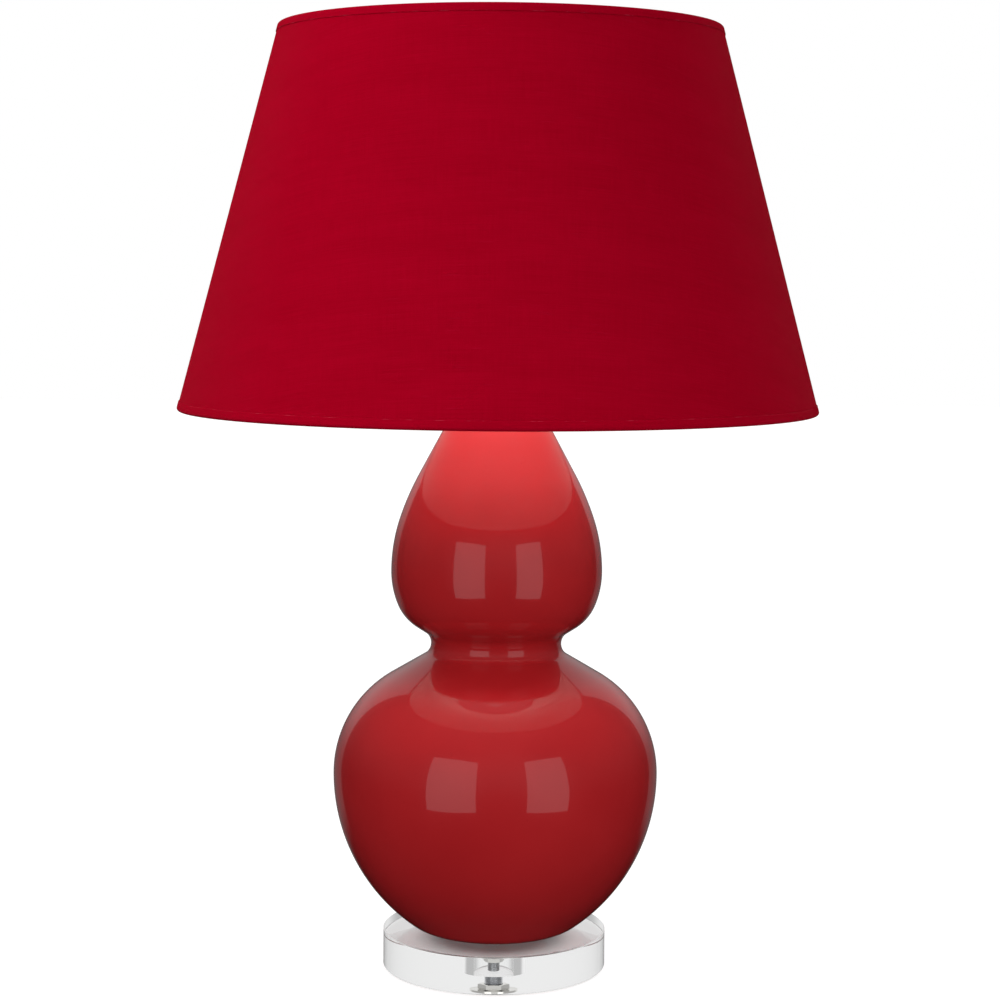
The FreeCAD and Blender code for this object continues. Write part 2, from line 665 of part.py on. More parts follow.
# ---------------------------------------------------------------- light bulb
def globe_trace(z, inset):
    """The bulb's glass from its neck to the top of its globe, or the parallel line inside it."""
    neck_r = LAMP_CAP_R - LAMP_CAP_T - SEAT_GAP
    rising = 90 - LAMP_FLARE_TURN
    trace = Trace(neck_r - inset, z, 90)
    trace.line(LAMP_NECK_H)
    trace.arc(LAMP_FLARE_R + inset, -LAMP_FLARE_TURN)
    globe_start_r = LAMP_GLOBE_R * sin(rising)
    flare_end_r = neck_r + LAMP_FLARE_R * (1 - cos(LAMP_FLARE_TURN))
    trace.line((globe_start_r - flare_end_r) / cos(rising))
    trace.arc(LAMP_GLOBE_R - inset, 180 - rising)
    return trace


def make_bulb(contact_z):
    """A frosted screw-in light bulb whose tip stands just above the socket's centre contact."""
    up = FreeCAD.Vector(0, 0, 1)
    tip_z = contact_z + LAMP_TIP_GAP
    tip_r = LAMP_TIP_R - LAMP_TIP_BEVEL
    node("bulb_tip", Part.makeCone(tip_r, LAMP_TIP_R, LAMP_TIP_H, FreeCAD.Vector(0, 0, tip_z), up))
    insulator_z = tip_z + LAMP_TIP_H
    cap_z = insulator_z + LAMP_INSULATOR_H
    inner_r = LAMP_CAP_R - LAMP_CAP_T
    throat_r = inner_r - SCREW_WAVE - SEAT_GAP
    node("bulb_insulator", turned_outline([
        (0, insulator_z),
        (LAMP_TIP_R + LAMP_INSULATOR_RIM, insulator_z),
        (throat_r, cap_z),
        (throat_r, cap_z + LAMP_INSULATOR_IN),
        (0, cap_z + LAMP_INSULATOR_IN),
    ]))
    thread_h = LAMP_CAP_H - LAMP_NECK_H
    outside = waves(cap_z, LAMP_CAP_R, SCREW_WAVE, thread_h) + [(LAMP_CAP_R, cap_z + LAMP_CAP_H)]
    inside = [(inner_r, cap_z + LAMP_CAP_H)]
    inside += waves(cap_z, inner_r, SCREW_WAVE, thread_h, reverse=True)
    node("bulb_cap", turned_outline(outside + inside))
    glass_z = cap_z + LAMP_CAP_H - LAMP_NECK_H / 2
    outer = globe_trace(glass_z, 0)
    inner = globe_trace(glass_z, LAMP_GLASS_T)
    crown = Trace(0, outer.z).move_to(0, inner.z)
    neck_r = inner_r - SEAT_GAP
    mouth = Trace(neck_r, glass_z).move_to(neck_r - LAMP_GLASS_T, glass_z)
    node("bulb_glass", turned(close_face(outer, inner, crown, mouth)))
    make_stem(glass_z, neck_r - LAMP_GLASS_T - SEAT_GAP)


def make_stem(z, flare_r):
    """The glass stem inside the bulb, with two support wires and the filament between them."""
    stem = turned_outline([
        (0, z),
        (flare_r, z),
        (flare_r, z + STEM_FOOT_H),
        (STEM_R, z + STEM_FLARE_H),
        (STEM_R, z + STEM_H),
        (0, z + STEM_H),
    ])
    top = z + STEM_H
    wires = []
    for side in (-1, 1):
        foot = FreeCAD.Vector(side * STEM_R / 2, 0, top - FILAMENT_ROOT)
        end = FreeCAD.Vector(side * FILAMENT_SPAN, 0, top + FILAMENT_RISE)
        wires.append(rod(FILAMENT_WIRE_R, foot.distanceToPoint(end), foot, end - foot))
    left = FreeCAD.Vector(-FILAMENT_SPAN, 0, top + FILAMENT_RISE)
    wires.append(rod(FILAMENT_WIRE_R, 2 * FILAMENT_SPAN, left, FreeCAD.Vector(1, 0, 0)))
    node("bulb_stem", stem.fuse(wires).removeSplitter())


# ---------------------------------------------------------------- harp
def leg_x():
    """The middle of a harp leg, which stands against the inside of its saddle post."""
    return SADDLE_HALF_SPAN - SADDLE_METAL - HARP_WIRE_R - SEAT_GAP


def make_harp(saddle_z):
    """The wire loop over the bulb, its two ferrules and its threaded stud. Returns the shoulder's height."""
    shoulder_z = saddle_z + HARP_H
    start_z = saddle_z + SADDLE_METAL + HARP_LIFT
    wire_top_z = shoulder_z - STUD_COVER - HARP_WIRE_R
    flare = HARP_FLARE_TURN
    curves_h = HARP_FLARE_R * sin(flare) + 2 * HARP_SIDE_R * sin(flare) + HARP_TOP_R * (1 - sin(flare))
    side_l = (wire_top_z - start_z - HARP_STRAIGHT - curves_h) / cos(flare)
    half_top = leg_x() + HARP_FLARE_R * (1 - cos(flare)) + side_l * sin(flare) - HARP_TOP_R * cos(flare)
    path = Trace(leg_x(), start_z, 90)
    path.line(HARP_STRAIGHT).arc(HARP_FLARE_R, -flare).line(side_l)
    path.arc(HARP_SIDE_R, 2 * flare).arc(HARP_TOP_R, 90 - flare)
    path.line(2 * half_top)
    path.arc(HARP_TOP_R, 90 - flare).arc(HARP_SIDE_R, 2 * flare)
    path.line(side_l).arc(HARP_FLARE_R, -flare).line(HARP_STRAIGHT)
    foot = FreeCAD.Vector(leg_x(), 0, start_z)
    node("harp", wire_sweep(path.edges, HARP_WIRE_R, foot, FreeCAD.Vector(0, 0, 1)))

    ferrule = tube(FERRULE_R, FERRULE_BORE_R, saddle_z + SADDLE_METAL + SEAT_GAP, FERRULE_L)
    ferrule_x = (leg_x() - HARP_WIRE_R + SADDLE_HALF_SPAN) / 2
    for name, side in (("harp_ferrule_left", -1), ("harp_ferrule_right", 1)):
        copy = ferrule.copy()
        copy.translate(FreeCAD.Vector(side * ferrule_x, 0, 0))
        node(name, copy)

    up = FreeCAD.Vector(0, 0, 1)
    base = rod(STUD_BASE_R, STUD_BASE_H, FreeCAD.Vector(0, 0, shoulder_z - STUD_BASE_H), up)
    post = rod(STUD_R, STUD_L, FreeCAD.Vector(0, 0, shoulder_z), up)
    wire_hole = rod(
        HARP_WIRE_R + SEAT_GAP, 2 * STUD_BASE_R, FreeCAD.Vector(-STUD_BASE_R, 0, wire_top_z),
        FreeCAD.Vector(1, 0, 0),
    )
    node("harp_stud", base.fuse(post).removeSplitter().cut(wire_hole))
    return shoulder_z


def make_finial(z):
    """The ball finial and the tapped core inside it, which screws onto the harp's stud."""
    node("finial_core", tube(FINIAL_CORE_R, STUD_R + RUNNING_GAP, z, FINIAL_CORE_L))
    bore = FINIAL_CORE_R + RUNNING_GAP
    neck_top = z + FINIAL_FOOT_H + FINIAL_NECK_H
    half_chord = math.sqrt(FINIAL_BALL_R ** 2 - FINIAL_NECK_R ** 2)
    ball_z = neck_top + half_chord
    start_heading = math.degrees(math.asin(half_chord / FINIAL_BALL_R))
    ball = Trace(FINIAL_NECK_R, neck_top, 90 - start_heading)
    ball.arc(FINIAL_BALL_R, 90 + start_heading)
    roof_z = z + FINIAL_CORE_L + RUNNING_GAP
    foot = Trace(0, ball_z + FINIAL_BALL_R).move_to(0, roof_z).move_to(bore, roof_z).move_to(bore, z)
    foot.move_to(FINIAL_FOOT_R, z)
    foot.heading = 90
    foot.arc(FINIAL_FOOT_H / 2, 180).move_to(FINIAL_NECK_R, z + FINIAL_FOOT_H).move_to(FINIAL_NECK_R, neck_top)
    node("finial_knob", turned(close_face(ball, foot)))


# ---------------------------------------------------------------- shade
class ShadeWall:
    """Places points on the shade's sloping wall by their way up the slope and their depth inside its face."""

    def __init__(self, bottom_z):
        self.bottom_z = bottom_z
        self.length = math.hypot(SHADE_BOTTOM_R - SHADE_TOP_R, SHADE_H)
        self.lean = (SHADE_TOP_R - SHADE_BOTTOM_R) / self.length
        self.rise = SHADE_H / self.length

    def point(self, along, depth):
        r = SHADE_BOTTOM_R + along * self.lean - depth * self.rise
        z = self.bottom_z + along * self.rise + depth * self.lean
        return r, z

    def slab(self, low, high, near, far):
        """A band of the wall between two ways up the slope and two depths."""
        corners = [(low, near), (high, near), (high, far), (low, far)]
        return turned_outline([self.point(along, depth) for along, depth in corners])


def make_hem(wall, name, ring_name, edge, inward):
    """A wire ring at the shade's edge and the fabric hem that is folded over it."""
    centre = RING_WIRE_R + TRIM_T
    ring_r, ring_z = wall.point(edge + inward * centre, centre)
    origin = FreeCAD.Vector(0, 0, ring_z)
    ring = Part.makeTorus(ring_r, RING_WIRE_R, origin, FreeCAD.Vector(0, 0, 1))
    node(ring_name, ring)

    def fold(radius):
        """Points round the wire, from the shade's outside over its edge to its inside, as (along, depth)."""
        step = 180.0 / HEM_FACETS
        return [(centre - radius * sin(k * step), centre - radius * cos(k * step)) for k in range(HEM_FACETS + 1)]

    wall_t = FABRIC_T + LINER_SHEET_T
    clear_r = (RING_WIRE_R + SEAT_GAP) / cos(90.0 / HEM_FACETS)
    past = centre + RING_WIRE_R
    outside = [(TRIM_W, 0)] + fold(centre) + [(past, 2 * centre), (TRIM_W, wall_t + 2 * TRIM_T)]
    inside = [(TRIM_W, TRIM_T)] + fold(clear_r) + [(past, centre + clear_r), (TRIM_W, wall_t + TRIM_T)]
    outline = outside + list(reversed(inside))
    node(name, turned_outline([wall.point(edge + inward * along, depth) for along, depth in outline]))
    return ring, ring_r, ring_z


def make_shade(hub_z):
    wall = ShadeWall(hub_z + SPIDER_DROP - SHADE_H)
    lap = 2 * RING_WIRE_R + TRIM_T
    fabric_far = TRIM_T + FABRIC_T
    fabric = wall.slab(lap, wall.length - lap, TRIM_T, fabric_far)
    liner = wall.slab(lap, wall.length - lap, fabric_far, fabric_far + LINER_SHEET_T)
    node("shade_fabric", fabric)
    node("shade_liner", liner)
    make_hem(wall, "shade_bottom_hem", "shade_bottom_ring", 0, 1)
    ring, ring_r, ring_z = make_hem(wall, "shade_top_hem", "shade_top_ring", wall.length, -1)
    make_spider(hub_z, ring, ring_r, ring_z)


def make_spider(hub_z, ring, ring_r, ring_z):
    """The hub washer that sits on the harp and the wire arms that carry the upper ring."""
    hub = tube(SPIDER_HUB_R, STUD_R + RUNNING_GAP, hub_z, SPIDER_HUB_T)
    node("spider_hub", hub)
    wire_z = hub_z + SPIDER_HUB_T / 2
    slope_l = (ring_z - wire_z - SPIDER_BEND_R * (1 - cos(SPIDER_BEND_TURN))) / sin(SPIDER_BEND_TURN)
    bend_r = ring_r - SPIDER_BEND_R * sin(SPIDER_BEND_TURN) - slope_l * cos(SPIDER_BEND_TURN)
    start_r = SPIDER_HUB_R - SPIDER_LAP
    path = Trace(start_r, wire_z)
    path.line(bend_r - start_r).arc(SPIDER_BEND_R, SPIDER_BEND_TURN).line(slope_l)
    start = FreeCAD.Vector(start_r, 0, wire_z)
    arm = wire_sweep(path.edges, SPIDER_WIRE_R, start, FreeCAD.Vector(1, 0, 0))
    arm = arm.cut(hub).cut(ring).cut(nodes["shade_top_hem"])
    longest = max(arm.Solids, key=lambda solid: solid.Volume)
    node("spider_arms", *spin_copies(longest, SPIDER_ARMS, SPIDER_FIRST))


# ---------------------------------------------------------------- the whole lamp
def make_lamp():
    make_base()
    mouth_z = make_gourd()
    make_grommet()
    saddle_z = make_neck(mouth_z)
    make_saddle(saddle_z)
    socket_z = saddle_z + SADDLE_METAL
    make_pipe(socket_z + SOCKET_HUB_H)
    make_socket_cap(socket_z)
    body_z = socket_z + BODY_LIFT
    shaft_z = body_z + SWITCH_LIFT
    body_r = make_socket_shell(socket_z, shaft_z)
    seat_z = make_socket_body(body_z, body_r, shaft_z)
    make_screw_shell(seat_z)
    make_switch(shaft_z, SHELL_R)
    make_bulb(seat_z + CONTACT_RISE + CONTACT_T)
    shoulder_z = make_harp(saddle_z)
    hub_z = shoulder_z + RUNNING_GAP
    make_shade(hub_z)
    make_finial(hub_z + SPIDER_HUB_T + RUNNING_GAP)


make_lamp()
os.makedirs("parts", exist_ok=True)
for name, shape in nodes.items():
    shape.exportStep(os.path.join("parts", name + ".step"))
    box = shape.BoundBox
    print(name, len(shape.Solids), "solids, z", round(box.ZMin, 2), "to", round(box.ZMax, 2))
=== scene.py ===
import bpy
import bmesh
import math
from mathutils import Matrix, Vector


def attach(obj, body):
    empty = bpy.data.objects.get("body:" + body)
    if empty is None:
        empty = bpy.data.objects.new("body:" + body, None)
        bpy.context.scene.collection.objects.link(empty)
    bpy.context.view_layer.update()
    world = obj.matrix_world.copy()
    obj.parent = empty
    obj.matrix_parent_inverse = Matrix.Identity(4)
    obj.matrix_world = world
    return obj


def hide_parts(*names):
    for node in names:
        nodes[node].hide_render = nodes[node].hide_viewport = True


# Table lamp: a double gourd ceramic body on a clear acrylic disc, under a tapered fabric shade.
# Metres, +Z up. The origin is under the lamp's middle, on the table, and the front faces -Y.

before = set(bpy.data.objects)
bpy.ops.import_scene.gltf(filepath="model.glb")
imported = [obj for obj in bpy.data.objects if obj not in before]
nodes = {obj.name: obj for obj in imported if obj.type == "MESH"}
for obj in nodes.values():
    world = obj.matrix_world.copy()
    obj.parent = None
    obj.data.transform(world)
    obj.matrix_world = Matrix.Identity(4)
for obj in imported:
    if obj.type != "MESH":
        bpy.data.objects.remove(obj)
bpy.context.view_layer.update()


def sin(degrees):
    return math.sin(math.radians(degrees))


def cos(degrees):
    return math.cos(math.radians(degrees))


# ---------------------------------------------------------------- sizes, as the solids have them
DISC_R = 0.0875
DISC_LOW = 0.00155       # its underside, 0.05 mm clear of the bumpers
DISC_TOP = 0.0307
DISC_BEVEL = 0.0007      # finer than the solid's, as the photograph shows it
COUNTERBORE_R = 0.016    # the wide bore from below, for the nut
COUNTERBORE_TOP = 0.0157
PIPE_HOLE_R = 0.0053
FOOT_Z = 0.0313          # height of the ring that the gourd stands on
FOOT_ARC_R = 0.02846     # the tight curve at the foot
BELLY_UNDER_R = 0.14563  # the lower lobe below its widest place
BELLY_UNDER_TURN = 54.11 # degrees that this curve turns, as below
BELLY_R = 0.1275         # the lower lobe's widest radius
SHOULDER_R = 0.08798     # the curve above it
SHOULDER_TURN = 59.35
WAIST_R = 0.0513         # the narrow place between the lobes
WAIST_FILLET = 0.0112    # the hollow curve at the waist
UPPER_TURN = 57.33
UPPER_FLANK = 0.0086     # straight run out of the waist
BULB_SIDE_R = 0.0682     # the upper lobe's side
BULB_SIDE_TURN = 22.85
BULB_R = 0.083           # the upper lobe's widest radius
CROWN_LOW_R = 0.133      # the lower curve up to the neck
CROWN_LOW_TURN = 18.54
CROWN_HIGH_R = 0.2213    # the upper one
CROWN_TURN = 28.24
NECK_R = 0.017
NECK_FILLET = 0.025      # the hollow curve into the neck
NECK_H = 0.005
WALL = 0.006
FOOT_LAND = 0.008        # width of the foot ring
FOOT_RECESS = 0.002
LEAD_HOLE_ANGLE = 38.0   # degrees below level, at the back
LEAD_HOLE_R = 0.00605
SHADE_TOP_R = 0.173
SHADE_BOTTOM_R = 0.2505
SHADE_H = 0.299
SHADE_LOW = 0.44046      # height of the shade's lower edge
FABRIC_T = 0.0005
LINER_T = 0.0005
TRIM_T = 0.0006          # the hem's cloth with its glue
TRIM_W = 0.007           # how far the hem reaches over the cloth
RING_WIRE_R = 0.0016

# ---------------------------------------------------------------- profiles and lathe work
ARC_STEP = 1.0           # degrees of an arc between two points of a profile


class Profile:
    """Tangent lines and arcs in the upright plane of radius and height, kept as points."""

    def __init__(self, r, z, heading=0.0):
        self.r = r
        self.z = z
        self.heading = heading
        self.points = [(r, z)]

    def to(self, r, z):
        self.r = r
        self.z = z
        self.points.append((r, z))
        return self

    def line(self, length):
        return self.to(self.r + length * cos(self.heading), self.z + length * sin(self.heading))

    def arc(self, radius, turn, step=ARC_STEP):
        side = 1 if turn > 0 else -1
        centre_r = self.r - side * radius * sin(self.heading)
        centre_z = self.z + side * radius * cos(self.heading)
        count = max(2, math.ceil(abs(turn) / step))
        start = self.heading
        for k in range(1, count + 1):
            self.heading = start + turn * k / count
            across = side * radius * sin(self.heading)
            up = -side * radius * cos(self.heading)
            self.to(centre_r + across, centre_z + up)
        return self


def finish_mesh(piece, body, material, sharp=35.0):
    """Smooth shading with sharp edges, the body it rides on and its material."""
    mesh = piece.data
    mesh.polygons.foreach_set("use_smooth", [True] * len(mesh.polygons))
    mesh.set_sharp_from_angle(angle=math.radians(sharp))
    mesh.materials.clear()
    mesh.materials.append(material)
    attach(piece, body)
    return piece


def new_piece(name, verts, faces, uvs=None):
    mesh = bpy.data.meshes.new(name)
    mesh.from_pydata(verts, [], faces)
    if uvs:
        layer = mesh.uv_layers.new(name="cloth")
        flat = [value for corner in uvs for value in corner]
        layer.data.foreach_set("uv", flat)
    mesh.validate()
    piece = bpy.data.objects.new(name, mesh)
    bpy.context.scene.collection.objects.link(piece)
    return piece


def face_outwards(piece):
    work = bmesh.new()
    work.from_mesh(piece.data)
    bmesh.ops.recalc_face_normals(work, faces=work.faces)
    work.to_mesh(piece.data)
    work.free()


def lathe(name, points, segments, uv=None):
    """Turns a closed outline of (r, z) about the lamp's axis. uv(turn, index) places a corner on flat cloth,
    with turn in degrees from the front, and the cut at the back."""
    rows = len(points)
    verts = []
    for r, z in points:
        for k in range(segments):
            angle = 90 + 360.0 * k / segments
            verts.append((r * cos(angle), r * sin(angle), z))
    faces = []
    uvs = []
    for i in range(rows):
        j = (i + 1) % rows
        for k in range(segments):
            n = (k + 1) % segments
            faces.append((i * segments + k, i * segments + n, j * segments + n, j * segments + k))
            if uv:
                left = -180 + 360.0 * k / segments
                right = -180 + 360.0 * (k + 1) / segments
                uvs += [uv(left, i), uv(right, i), uv(right, j), uv(left, j)]
    piece = new_piece(name, verts, faces, uvs)
    face_outwards(piece)
    return piece


# ---------------------------------------------------------------- materials
class Shader:
    """Short calls for building one material's nodes round its Principled shader."""

    def __init__(self, name, **sockets):
        self.material = bpy.data.materials.new(name)
        self.material.use_nodes = True
        self.tree = self.material.node_tree
        self.bsdf = self.tree.nodes["Principled BSDF"]
        for key, value in sockets.items():
            self.bsdf.inputs[key.replace("_", " ")].default_value = value

    def add(self, kind, settings=None, **inputs):
        node = self.tree.nodes.new(kind)
        for key, value in (settings or {}).items():
            setattr(node, key, value)
        for key, value in inputs.items():
            socket = node.inputs[int(key[1:])] if key[0] == "i" and key[1:].isdigit() else node.inputs[key]
            self.feed(socket, value)
        return node

    def feed(self, socket, value):
        if isinstance(value, bpy.types.NodeSocket):
            self.tree.links.new(value, socket)
        else:
            socket.default_value = value

    def place(self, uv=False, stretch=(1, 1, 1)):
        source = self.add("ShaderNodeTexCoord").outputs["UV" if uv else "Object"]
        return self.add("ShaderNodeMapping", Vector=source, Scale=stretch).outputs[0]

    def noise(self, vector, scale, detail=2.0, roughness=0.5):
        return self.add("ShaderNodeTexNoise", Vector=vector, Scale=scale, Detail=detail,
                        Roughness=roughness).outputs[0]

    def span(self, value, low, high, to_low=0.0, to_high=1.0):
        node = self.add("ShaderNodeMapRange", {"interpolation_type": "SMOOTHSTEP"}, i0=value, i1=low, i2=high,
                        i3=to_low, i4=to_high)
        return node.outputs[0]

    def math(self, operation, a, b=0.0):
        return self.add("ShaderNodeMath", {"operation": operation}, i0=a, i1=b).outputs[0]

    def mix(self, factor, a, b):
        node = self.add("ShaderNodeMix", {"data_type": "RGBA"})
        self.feed(node.inputs[0], factor)
        self.feed(node.inputs[6], a)
        self.feed(node.inputs[7], b)
        return node.outputs[2]

    def colour(self, socket):
        self.feed(self.bsdf.inputs["Base Color"], socket)

    def rough(self, socket):
        self.feed(self.bsdf.inputs["Roughness"], socket)

    def bump(self, height, distance, coat=False):
        node = self.add("ShaderNodeBump", Strength=1.0, Distance=distance, Height=height)
        self.feed(self.bsdf.inputs["Normal"], node.outputs[0])
        if coat:
            self.feed(self.bsdf.inputs["Coat Normal"], node.outputs[0])


def rgb(r, g, b):
    return (r, g, b, 1.0)


def glaze_material():
    """Deep red glaze: a soft body colour under a clear, slightly uneven glass coat."""
    s = Shader("glaze", Roughness=0.3, Coat_Weight=1.0, Coat_Roughness=0.035, Coat_IOR=1.5)
    s.bsdf.inputs["Specular IOR Level"].default_value = 0.15
    where = s.place()
    cloud = s.noise(where, 9.0, 3.0)
    speck = s.noise(where, 420.0, 2.0)
    height = s.add("ShaderNodeSeparateXYZ", Vector=where).outputs[2]
    body = s.mix(s.span(cloud, 0.3, 0.7), rgb(0.372, 0.0095, 0.0125), rgb(0.408, 0.0122, 0.0152))
    body = s.mix(s.span(speck, 0.62, 0.78, 0.0, 0.25), body, rgb(0.29, 0.0065, 0.009))
    # painted shade: the body colour darkens in a band just above the foot, where the gourd stands on the disc
    painted_foot_shade = s.span(height, FOOT_Z - 0.0013, FOOT_Z + 0.0087, 0.55, 0.0)
    s.colour(s.mix(painted_foot_shade, body, rgb(0.16, 0.012, 0.012)))
    swell = s.noise(where, 38.0, 2.0, 0.4)
    peel = s.noise(where, 600.0, 1.0)
    relief = s.math("ADD", swell, s.math("MULTIPLY", peel, 0.02))
    s.bump(relief, 0.00006, coat=True)
    return s.material


YARN_PITCH = 0.00042
# width of the painted highlight along a hem's free edge
PAINTED_HIGHLIGHT_W = 0.0007


def cloth_material(name, painted_edge_highlight=False):
    """Crimson plain weave with long uneven yarns and a few slubs. A hem's cloth has a broken pale line along
    its free edge: a painted highlight where the folded edge catches the light."""
    s = Shader(name, Roughness=0.9, Sheen_Weight=0.07, Sheen_Roughness=0.16,
               Sheen_Tint=rgb(0.95, 0.30, 0.28))
    s.bsdf.inputs["Specular IOR Level"].default_value = 0.0
    parts = s.add("ShaderNodeSeparateXYZ", Vector=s.place(uv=True))
    across = parts.outputs[0]
    up = parts.outputs[1]
    weft = s.noise(s.place(uv=True, stretch=(22, 1250, 1)), 1.0, 2.0)
    warp = s.noise(s.place(uv=True, stretch=(1250, 30, 1)), 1.0, 2.0)
    broad = s.noise(s.place(uv=True, stretch=(7, 45, 1)), 1.0, 3.0)
    slub = s.span(s.noise(s.place(uv=True, stretch=(48, 1500, 1)), 1.0, 1.0), 0.69, 0.76)
    lit = s.math("ADD", s.span(weft, 0.25, 0.75, 0.0, 0.5), s.span(warp, 0.25, 0.75, 0.0, 0.28))
    lit = s.math("ADD", lit, s.span(broad, 0.3, 0.7, 0.0, 0.22))
    tone = s.mix(lit, rgb(0.285, 0.0002, 0.0088), rgb(0.358, 0.0007, 0.0140))
    tone = s.mix(s.math("MULTIPLY", slub, 0.45), tone, rgb(0.44, 0.006, 0.030))
    turns = 2 * math.pi / YARN_PITCH
    over = s.math("SINE", s.math("MULTIPLY", across, turns))
    under = s.math("SINE", s.math("MULTIPLY", up, turns))
    knit = s.math("MULTIPLY", over, under)
    tone = s.mix(s.span(knit, -1.0, 1.0, 0.16, 0.0), tone, rgb(0.12, 0.0, 0.004))
    # painted highlight: a broken pale line along the hem's free edge, where the fold catches the light
    if painted_edge_highlight:
        fade = 0.0002
        near = s.math("MULTIPLY", s.span(up, 0.0, fade), s.span(up, PAINTED_HIGHLIGHT_W, PAINTED_HIGHLIGHT_W - fade))
        broken = s.span(s.noise(s.place(uv=True, stretch=(60, 60, 1)), 1.0, 4.0, 0.7), 0.50, 0.62)
        tone = s.mix(s.math("MULTIPLY", near, s.math("MULTIPLY", broken, 0.4)), tone, rgb(0.50, 0.05, 0.09))
    s.colour(tone)
    relief = s.math("ADD", s.math("MULTIPLY", knit, 0.5), s.math("ADD", weft, slub))
    s.bump(relief, 0.00012)
    return s.material


def acrylic_material():
    """Clear cast acrylic: flame-smooth faces with faint marks, and satin bevels."""
    s = Shader("acrylic", IOR=1.49, Transmission_Weight=1.0)
    where = s.place()
    smear = s.noise(where, 24.0, 4.0)
    parts = s.add("ShaderNodeSeparateXYZ", Vector=where)
    flat = s.add("ShaderNodeCombineXYZ", X=parts.outputs[0], Y=parts.outputs[1])
    r = s.add("ShaderNodeVectorMath", {"operation": "LENGTH"}, Vector=flat.outputs[0]).outputs["Value"]
    z = parts.outputs[2]
    blend = 0.0004
    outer = s.span(r, DISC_R - DISC_BEVEL - blend, DISC_R - DISC_BEVEL)
    high = s.span(z, DISC_TOP - DISC_BEVEL - blend, DISC_TOP - DISC_BEVEL)
    low = s.span(z, DISC_LOW + DISC_BEVEL + blend, DISC_LOW + DISC_BEVEL)
    bevel = s.math("MULTIPLY", outer, s.math("MAXIMUM", high, low))
    s.rough(s.math("ADD", s.span(smear, 0.45, 0.8, 0.0, 0.02), s.math("MULTIPLY", bevel, 0.32)))
    s.colour(s.mix(s.span(s.noise(where, 8.0), 0.3, 0.7), rgb(0.985, 0.992, 0.99), rgb(0.996, 0.998, 0.997)))
    s.bump(smear, 0.000004)
    return s.material


def metal_material(name, light, dark, low, high, stretch=(1, 1, 1), scale=260.0):
    """Plated metal: tone and gloss wander a little, with fine marks along one way."""
    s = Shader(name, Metallic=1.0)
    where = s.place()
    cloud = s.noise(where, 70.0, 3.0)
    marks = s.noise(s.place(stretch=stretch), scale, 3.0, 0.6)
    s.colour(s.mix(s.span(cloud, 0.3, 0.7), rgb(*dark), rgb(*light)))
    s.rough(s.span(marks, 0.3, 0.75, low, high))
    s.bump(marks, 0.0000025)
    return s.material


def plain_material(name, light, dark, rough, bump, scale, stretch=(1, 1, 1), **sockets):
    """A moulded, rubber or paper part: two close tones, a grain and its relief."""
    s = Shader(name, **sockets)
    where = s.place(stretch=stretch)
    grain = s.noise(where, scale, 4.0, 0.6)
    s.colour(s.mix(s.span(grain, 0.3, 0.7), rgb(*dark), rgb(*light)))
    s.rough(s.span(s.noise(where, scale / 4), 0.3, 0.7, rough[0], rough[1]))
    s.bump(grain, bump)
    return s.material


glaze = glaze_material()
cloth = cloth_material("shade_cloth")
materials = {
    "clear_acrylic": acrylic_material(),
    "clear_vinyl": plain_material(
        "vinyl", (0.88, 0.9, 0.9), (0.8, 0.83, 0.83), (0.2, 0.35), 0.00001, 300,
        Transmission_Weight=0.8, IOR=1.46),
    "red_glaze": glaze,
    "red_fabric": cloth,
    "white_styrene": plain_material(
        "styrene", (0.86, 0.85, 0.81), (0.81, 0.80, 0.76), (0.5, 0.65), 0.00004, 900,
        stretch=(1, 1, 0.35)),
    "nickel": metal_material("nickel", (0.82, 0.81, 0.78), (0.74, 0.73, 0.70), 0.06, 0.16),
    "zinc_steel": metal_material("zinc", (0.66, 0.67, 0.68), (0.50, 0.51, 0.53), 0.22, 0.42, scale=500.0),
    "brass_parts": metal_material("brass", (0.80, 0.61, 0.29), (0.62, 0.44, 0.19), 0.16, 0.34),
    "thread_aluminium": metal_material(
        "aluminium", (0.82, 0.82, 0.83), (0.7, 0.7, 0.72), 0.18, 0.36,
        stretch=(1, 1, 12)),
    "insulating_paper": plain_material(
        "paper", (0.58, 0.47, 0.34), (0.47, 0.37, 0.26), (0.75, 0.9), 0.00008, 500,
        stretch=(1, 1, 0.3)),
    "dark_phenolic": plain_material(
        "phenolic", (0.065, 0.052, 0.046), (0.040, 0.031, 0.027), (0.3, 0.5), 0.00002, 400),
    "black_knob": plain_material(
        "knob", (0.022, 0.022, 0.023), (0.014, 0.014, 0.015), (0.18, 0.32), 0.00002, 500),
    "black_glass": plain_material(
        "black_glass", (0.020, 0.020, 0.028), (0.010, 0.010, 0.014), (0.04, 0.12), 0.00001, 200,
        Coat_Weight=0.5),
    "frosted_glass": plain_material(
        "frosted", (0.93, 0.93, 0.91), (0.88, 0.88, 0.86), (0.35, 0.5), 0.00001, 1500,
        Transmission_Weight=0.35, IOR=1.5),
    "clear_glass": plain_material(
        "glass", (0.97, 0.98, 0.98), (0.93, 0.95, 0.95), (0.0, 0.04), 0.000004, 90,
        Transmission_Weight=1.0, IOR=1.5),
    "black_rubber": plain_material(
        "rubber", (0.026, 0.025, 0.025), (0.015, 0.015, 0.015), (0.55, 0.75), 0.00004, 700),
}
for made in nodes.values():
    for entry in made.material_slots:
        finish = materials[entry.material.name.split(".")[0]]
        entry.link = "OBJECT"
        entry.material = finish
        # the glaze would mirror the bumpers as pale spots at its foot
        if finish == materials["clear_vinyl"]:
            made.visible_glossy = False


